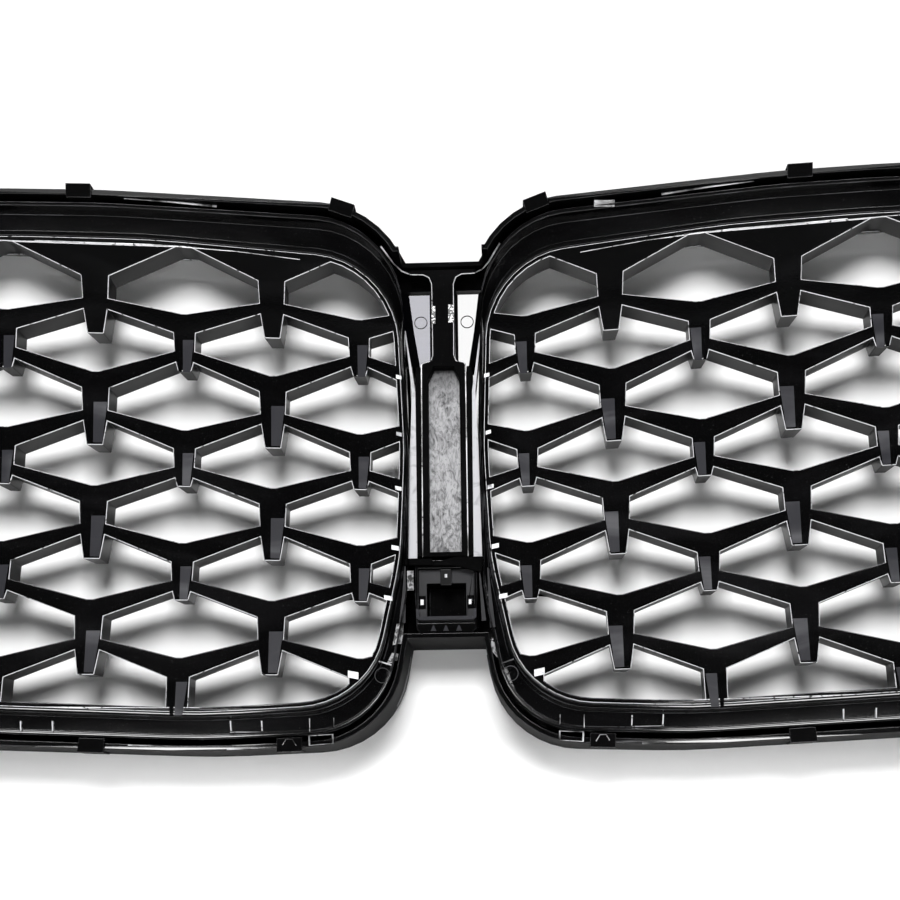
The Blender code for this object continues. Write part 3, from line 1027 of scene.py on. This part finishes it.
@dataclass
class HousingDetails:
    """The small walls, lips and windows around the camera's back plate."""

    finishes: Finishes

    def build(self) -> None:
        """Make the housing's pieces."""
        bars = PlateSet("housing_top_bars", self.finishes.dull, slot=Slot.SATIN, thickness=2.4)
        bars.block((5.6, 17.0), (-49.4, -46.9), 6.6)
        bars.quad(((5.6, -49.6), (-4.2, -49.9), (-3.9, -46.3), (1.5, -47.8)), (6.6,) * 4)
        bars.quad(((-4.2, -49.9), (-14.8, -52.9), (-16.0, -46.3), (-3.9, -46.3)), (6.6,) * 4)
        bars.build()
        lip = PlateSet("housing_lip", self.finishes.facet, slot=Slot.SATIN, thickness=1.6)
        lip.block((11.2, -11.0), (-72.4, -70.9), 5.0)
        for side in (1, -1):
            lip.quad(
                ((side * 11.2, -72.4), (side * 12.5, -71.4), (side * 12.5, -67.6), (side * 11.2, -68.2)),
                (5.0,) * 4,
            )
        for across in (5.4, 0.2, -5.2):
            foot, tip = -76.9, -74.6
            corners = ((across + 1.2, foot), (across - 1.2, foot), (across - 0.2, tip), (across + 0.2, tip))
            lip.quad(corners, (4.6,) * 4)
        lip.build()
        # The snap windows take the light pad finish: painted light.
        windows = PlateSet("snap_windows", self.finishes.pad, slot=Slot.SATIN)
        windows.block((9.6, 10.9), (-65.4, -63.2), 0.8)
        windows.block((-9.2, -10.4), (-65.4, -63.4), 0.8)
        windows.build()
        frames = PlateSet("snap_window_frames", self.finishes.dull, slot=Slot.SATIN, thickness=1.0)
        for side in (1, -1):
            corners = ((side * 8.7, -67.0), (side * 11.6, -67.0), (side * 11.6, -61.8), (side * 8.7, -61.8))
            frames.quad(corners, (1.6,) * 4, frame_width=0.2)
        frames.build()
        dot = PlateSet("latch_highlight", self.finishes.pad, Body.LATCH, Slot.SATIN, thickness=0.1)
        dot.block((-0.5, 0.5), (-54.6, -53.2), 4.5)
        dot.build()
        patches = PlateSet("mottled_patches", self.finishes.mottled)
        patches.quad(((15.9, -60.4), (13.3, -60.4), (13.3, -52.4), (15.9, -52.4)), (8.4, 8.4, 9.6, 9.6))
        patches.quad(((22.4, -82.6), (18.4, -82.0), (17.6, -73.4), (20.6, -73.8)), (5.4, 5.4, 5.0, 5.0))
        patches.quad(((25.0, -90.8), (20.4, -89.0), (20.0, -86.2), (22.6, -85.8)), (5.6, 5.6, 5.4, 5.4))
        patches.quad(((-21.2, -89.0), (-18.4, -85.4), (-18.4, -81.4), (-20.8, -82.4)), (6.6, 5.6, 5.0, 5.2))
        patches.build()
        # Grey slivers beside the housing: painted highlights.
        slivers = PlateSet("side_slivers", self.finishes.plate)
        slivers.bead(((16.9, 7.0, -50.0), (17.4, 7.0, -62.0), (18.2, 7.0, -73.6)), (0.4, 2.6))
        slivers.bead(((-14.0, 4.6, -51.0), (-14.8, 4.6, -62.0), (-15.6, 4.6, -73.0)), (0.4, 1.8))
        slivers.bead(((-17.6, 6.0, -51.0), (-18.4, 6.0, -64.0), (-19.2, 6.0, -76.0)), (0.5, 2.2))
        slivers.build()


@dataclass
class BandDetails:
    """Slots, ribs, pin marks and lip lines on the bands around the openings; the slot, seam, streak and rib
    lines are painted highlights and the lips a painted reflection.
    """

    finishes: Finishes
    # Lines through (across, back, up) points, with the width at either end.
    streak: tuple[tuple[float, float, float], ...] = (
        (130.3, 50.6, 99.6), (112.0, 46.6, 99.3), (93.3, 41.4, 98.9),
    )
    seam: tuple[tuple[float, float, float], ...] = (
        (167.1, 50.5, 82.1), (145.0, 46.9, 82.0), (120.7, 42.9, 82.0), (86.0, 36.6, 80.4),
        (59.2, 31.3, 78.0),
    )
    foot_slot: tuple[tuple[float, float, float], ...] = ((124.2, 34.5, -123.7), (101.0, 29.7, -124.2))
    short_slot: tuple[tuple[float, float, float], ...] = ((86.4, 27.9, -125.4), (77.2, 26.5, -125.4))
    hook: tuple[tuple[float, float, float], ...] = (
        (64.6, 25.8, -124.0), (63.3, 25.3, -121.7), (60.9, 24.9, -121.7), (59.3, 24.9, -124.2),
    )
    rib_pairs: tuple[tuple[float, float, float, float], ...] = (
        (86.5, 20.8, 74.3, 18.2), (167.0, 36.0, 155.0, 33.4),
    )
    window: tuple[tuple[float, float, float], ...] = ((55.4, 14.2, -112.8), (55.2, 14.6, -119.0))
    other_jamb: tuple[tuple[float, float, float], ...] = ((45.8, 12.4, -112.6), (45.6, 12.8, -119.0))
    pin_mark: tuple[float, float, float, float] = (26.2, -95.5, 3.2, -0.6)
    pin_line: tuple[tuple[float, float, float], ...] = ((27.6, 11.0, -89.8), (22.6, 8.8, -91.2))
    lip: tuple[tuple[float, float, float], ...] = (
        (16.4, -14.0, -85.0), (17.6, -14.0, -92.0), (19.6, -14.0, -99.5), (22.4, -14.0, -105.6),
    )

    def build(self) -> None:
        """Make every piece on both sides."""
        # Lines and ribs: painted highlights; lips: grey, a painted reflection of the sheet in the skirt's
        # outer wall.
        lines = PlateSet("band_lines", self.finishes.broken)
        ribs = PlateSet("band_ribs", self.finishes.edge, thickness=1.6)
        marks = PlateSet("band_pin_marks", self.finishes.plate)
        lips = PlateSet("skirt_lips", self.finishes.plate, thickness=6.0)
        for side in (1, -1):
            lines.bead(self.streak, (0.3, 0.9), side)
            lines.bead(self.seam, (0.3, 0.25), side)
            lines.bead(self.foot_slot, (0.35, 0.35), side)
            lines.bead(self.short_slot, (0.6, 0.6), side)
            lines.bead(self.hook, (0.3, 0.3), side)
            lines.bead(self.pin_line, (0.5, 0.5), side)
            lines.bead(self.window, (0.3, 0.3), side)
            lines.bead(self.other_jamb, (0.3, 0.3), side)
            corners = (
                (side * 44.8, -123.4), (side * 54.6, -124.2), (side * 54.8, -120.2), (side * 45.0, -119.6),
            )
            lines.quad(corners, (20.6, 22.4, 22.4, 20.6), frame_width=0.06)
            for far, far_back, near, near_back in self.rib_pairs:
                ribs.bead(((far, far_back, -113.8), (far - 0.4, far_back, -117.8)), (0.45, 0.45), side)
                ribs.bead(((near, near_back, -113.8), (near - 0.3, near_back, -117.8)), (0.45, 0.45), side)
                lines.bead(((far, far_back, -118.3), (near, near_back, -118.2)), (0.2, 0.2), side)
            across, up, radius, depth = self.pin_mark
            marks.disc((side * across, up), radius, depth, 0.3, True)
            lips.bead(self.lip, (0.5, 0.7), side)
        lines.quad(((-65.2, 95.4), (-73.6, 94.6), (-73.8, 97.6), (-65.4, 98.4)), (38.2, 39.6, 39.6, 38.2))
        for plates in (lines, ribs, marks, lips):
            plates.build()


@dataclass
class Studio:
    """Camera, lights, floor and the white sheet that the grille lies against."""

    camera_place: Vector = Vector((-28.2, 665.3, -164.9)) * MM
    camera_turn: float = math.radians(2.24)
    camera_rise: float = math.radians(14.02)
    camera_roll: float = math.radians(-0.69)
    lens: float = 64.0
    floor_height: float = -0.30
    sheet_gap: float = 3.0 * MM
    sheet_depth: float = 41.0
    sheet_reach: float = 400.0
    sheet_top: float = 120.0
    sheet_bottom: float = -60.0

    def place_camera(self) -> None:
        """Put the camera behind the grille, a little below it and looking up."""
        data = bpy.data.cameras.new("camera")
        data.lens = self.lens
        data.sensor_width = 36.0
        camera = bpy.data.objects.new("camera", data)
        bpy.context.scene.collection.objects.link(camera)
        look = Vector((
            math.sin(self.camera_turn) * math.cos(self.camera_rise),
            -math.cos(self.camera_turn) * math.cos(self.camera_rise),
            math.sin(self.camera_rise),
        ))
        turn = look.to_track_quat("-Z", "Y") @ Quaternion((0.0, 0.0, 1.0), self.camera_roll)
        camera.matrix_world = Matrix.Translation(self.camera_place) @ turn.to_matrix().to_4x4()
        bpy.context.scene.camera = camera

    def add_light(
        self,
        name: str,
        place: tuple[float, float, float],
        size: tuple[float, float],
        radiance: float,
        mirrored: bool = True,
        diffuse: bool = True,
    ) -> None:
        """Add a soft panel that faces the grille.

        Args:
            name: The light's name.
            place: Its centre, in metres.
            size: Its width and height, in metres.
            radiance: How bright its face is, where 1 is the white of the sheet.
            mirrored: False keeps it out of reflections.
            diffuse: False keeps it off everything but reflections.
        """
        data = bpy.data.lights.new(name, "AREA")
        data.shape = "RECTANGLE"
        data.size, data.size_y = size
        data.energy = radiance * math.pi * size[0] * size[1]
        light = bpy.data.objects.new(name, data)
        bpy.context.scene.collection.objects.link(light)
        aim = Vector((0.0, 0.0, 0.0)) - Vector(place)
        turn = aim.to_track_quat("-Z", "Y").to_matrix().to_4x4()
        light.matrix_world = Matrix.Translation(Vector(place)) @ turn
        light.visible_camera = False
        light.visible_glossy = mirrored
        light.visible_diffuse = diffuse

    def light_up(self) -> None:
        """Set the world and the soft panels."""
        world = bpy.data.worlds.new("studio")
        world.use_nodes = True
        tree = world.node_tree
        background = tree.nodes["Background"]
        seen = tree.nodes.new("ShaderNodeLightPath")
        dim = tree.nodes.new("ShaderNodeMix")
        dim.data_type = "RGBA"
        dim.inputs[6].default_value = (0.09, 0.09, 0.092, 1.0)
        dim.inputs[7].default_value = (0.03, 0.03, 0.031, 1.0)
        blend = tree.nodes.new("ShaderNodeMix")
        blend.data_type = "RGBA"
        blend.inputs[7].default_value = (1.0, 1.0, 1.0, 1.0)
        tree.links.new(seen.outputs["Is Glossy Ray"], dim.inputs["Factor"])
        tree.links.new(dim.outputs[2], blend.inputs[6])
        tree.links.new(seen.outputs["Is Camera Ray"], blend.inputs["Factor"])
        tree.links.new(blend.outputs[2], background.inputs["Color"])
        bpy.context.scene.world = world
        self.add_light("web_panel", (0.03, 1.05, 0.43), (0.32, 0.26), 24.0, diffuse=False)
        self.add_light("sheet_panel", (0.0, 1.10, 0.22), (0.34, 0.26), 54.0, mirrored=False)
        self.add_light("front_panel", (0.5, -1.5, 1.2), (1.0, 0.6), 12.0)
        self.add_light("front_strip", (-1.2, -1.2, 0.3), (0.25, 1.2), 18.0)
        self.add_light("front_low_strip", (1.3, -1.0, -0.05), (0.2, 0.5), 12.0)

    def lay_floor(self) -> None:
        """Add the pale floor and the white sheet behind the grille's front, which glows below the grille as
        painted light.
        """
        graph = Graph("pale_floor")
        graph.feed(Base_Color=(0.86, 0.86, 0.86, 1.0), Roughness=0.6)
        work = bmesh.new()
        bmesh.ops.create_grid(work, x_segments=1, y_segments=1, size=6.0)
        bmesh.ops.translate(work, vec=(0.0, 0.0, self.floor_height), verts=work.verts)
        settle(work, "studio_floor", [graph.material])

        sheet = Graph("white_sheet")
        height = sheet.node(
            "ShaderNodeSeparateXYZ", {}, {"Vector": sheet.node("ShaderNodeTexCoord", out="Object")}, "Z"
        )
        # Below -0.118 m the sheet glows: painted light that lifts the grille's cast shadow under its bottom
        # edge.
        low = 1.0 - sheet.step(height, -0.142, -0.118)
        sheet.feed(
            Base_Color=(0.93, 0.93, 0.93, 1.0),
            Roughness=0.8,
            Emission_Color=sheet.mix(low, (0.0, 0.0, 0.0, 1.0), (0.42, 0.42, 0.42, 1.0)),
            Emission_Strength=1.0,
        )
        clear = sheet.tree.nodes.new("ShaderNodeBsdfTransparent")
        side = sheet.tree.nodes.new("ShaderNodeNewGeometry")
        pick = sheet.tree.nodes.new("ShaderNodeMixShader")
        output = sheet.tree.nodes["Material Output"]
        sheet.tree.links.new(side.outputs["Backfacing"], pick.inputs[0])
        sheet.tree.links.new(sheet.shader.outputs[0], pick.inputs[1])
        sheet.tree.links.new(clear.outputs[0], pick.inputs[2])
        sheet.tree.links.new(pick.outputs[0], output.inputs["Surface"])
        work = bmesh.new()
        bmesh.ops.create_grid(work, x_segments=160, y_segments=160, size=0.8)
        bmesh.ops.rotate(work, matrix=Matrix.Rotation(-math.pi / 2, 3, "X"), verts=work.verts)
        bmesh.ops.translate(work, vec=(0.0, 0.0, self.floor_height + 0.8), verts=work.verts)
        for vert in work.verts:
            across = min(abs(vert.co.x) / MM, self.sheet_reach)
            up = max(min(vert.co.z / MM, self.sheet_top), self.sheet_bottom)
            vert.co.y = (sweep(across, up) - self.sheet_depth) * MM
            vert.co.y = max(vert.co.y, CAD_BOX[0].y - self.sheet_gap)
        for face in work.faces:
            face.smooth = True
        piece = settle(work, "white_sheet", [sheet.material])

    def build(self) -> None:
        """Build the whole studio."""
        bpy.context.scene.view_settings.view_transform = "Standard"
        self.place_camera()
        self.light_up()
        self.lay_floor()


def main() -> None:
    """Build every piece in order."""
    logging.basicConfig(level=logging.INFO, format="%(name)s %(message)s")
    finishes = Finishes()
    gloss, dull, satin, faint = finishes.gloss, finishes.dull, finishes.satin, finishes.faint

    Studio().build()
    for node in ("mesh_insert_left", "mesh_insert_right"):
        # Lattice bevels: a bright painted highlight facing back, a dimmer one where they face up.
        LatticeMoulding(node, gloss, finishes.edge, finishes.soft_painted_highlight, extra=(finishes.wall,)).build()
    for node in ("carrier_left", "carrier_right"):
        EdgedMoulding(node, gloss, faint, faint).build()
    TrimSkirt("front_trim", gloss, faint, faint, extra=(dull,)).build()
    WebCarrier("centre_carrier", gloss, faint, faint, extra=(dull,)).build()
    BridgeStrip("centre_strip", dull, finishes.edge, finishes.edge, extra=(finishes.floor,)).build()
    CameraHousing("camera_bracket", dull, faint, faint, slot=Slot.SATIN, extra=(finishes.plate,)).build()
    EdgedMoulding("camera_cover", dull, faint, faint, body=Body.COVER).build()
    EdgedMoulding(
        "release_latch", satin, faint, faint, body=Body.LATCH, slot=Slot.SATIN, radius=0.2 * MM
    ).build()
    for node in sorted(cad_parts):
        if node.startswith("trim_clip"):
            EdgedMoulding(node, dull, faint, faint, slot=Slot.STEEL, radius=0.2 * MM).build()
    # The tabs' inward facets take the grey facet finish: painted sheen on the side of each groove that
    # turns to the light.
    Lattice().build(finishes.facet, gloss)
    BridgeDetails(finishes).build()
    HousingDetails(finishes).build()
    BandDetails(finishes).build()


if __name__ == "__main__":
    main()
